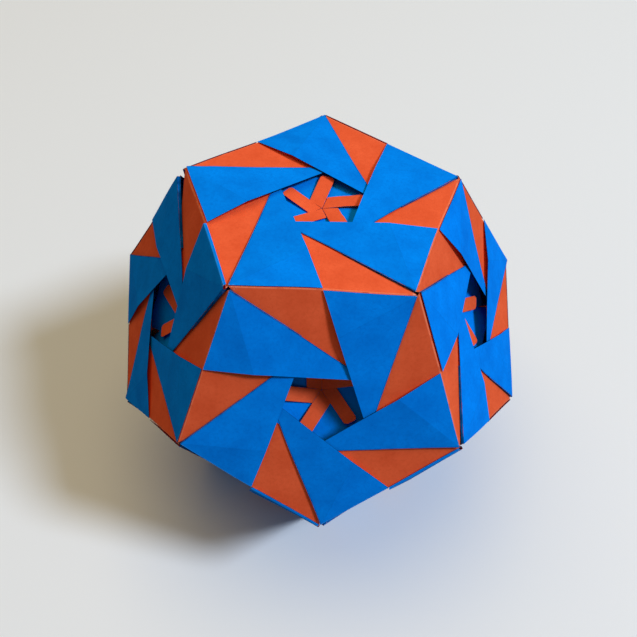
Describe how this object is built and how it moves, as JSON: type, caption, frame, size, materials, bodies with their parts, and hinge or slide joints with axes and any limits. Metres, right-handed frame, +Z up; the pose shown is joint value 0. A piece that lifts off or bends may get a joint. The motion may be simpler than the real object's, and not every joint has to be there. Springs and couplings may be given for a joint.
{
  "type": "kusudama paper ball",
  "caption": "Dodecahedral modular paper ball: alike folded two-colour sheets, one along each edge, whose tucked flaps make a pinwheel round a dimpled star on every face.",
  "frame": {"origin": "middle of the ball", "axes": "+Z up, square to the top face, -Y towards the upper face at the front"},
  "size_m": [0.1032, 0.1084, 0.089],
  "materials": {
    "duo_paper": "matt two-colour folding paper, blue on the face and orange-red on the reverse"
  },
  "bodies": {
    "root": {"top_unit_1": "duo_paper", "top_unit_2": "duo_paper", "top_unit_3": "duo_paper", "top_unit_4": "duo_paper", "top_unit_5": "duo_paper", "upper_unit_1": "duo_paper", "upper_unit_2": "duo_paper", "upper_unit_3": "duo_paper", "upper_unit_4": "duo_paper", "upper_unit_5": "duo_paper", "middle_unit_1": "duo_paper", "middle_unit_2": "duo_paper", "middle_unit_3": "duo_paper", "middle_unit_4": "duo_paper", "middle_unit_5": "duo_paper", "middle_unit_6": "duo_paper", "middle_unit_7": "duo_paper", "middle_unit_8": "duo_paper", "middle_unit_9": "duo_paper", "middle_unit_10": "duo_paper", "lower_unit_1": "duo_paper", "lower_unit_2": "duo_paper", "lower_unit_3": "duo_paper", "lower_unit_4": "duo_paper", "lower_unit_5": "duo_paper", "bottom_unit_1": "duo_paper", "bottom_unit_2": "duo_paper", "bottom_unit_3": "duo_paper", "bottom_unit_4": "duo_paper", "bottom_unit_5": "duo_paper"}
  },
  "joints": []
}
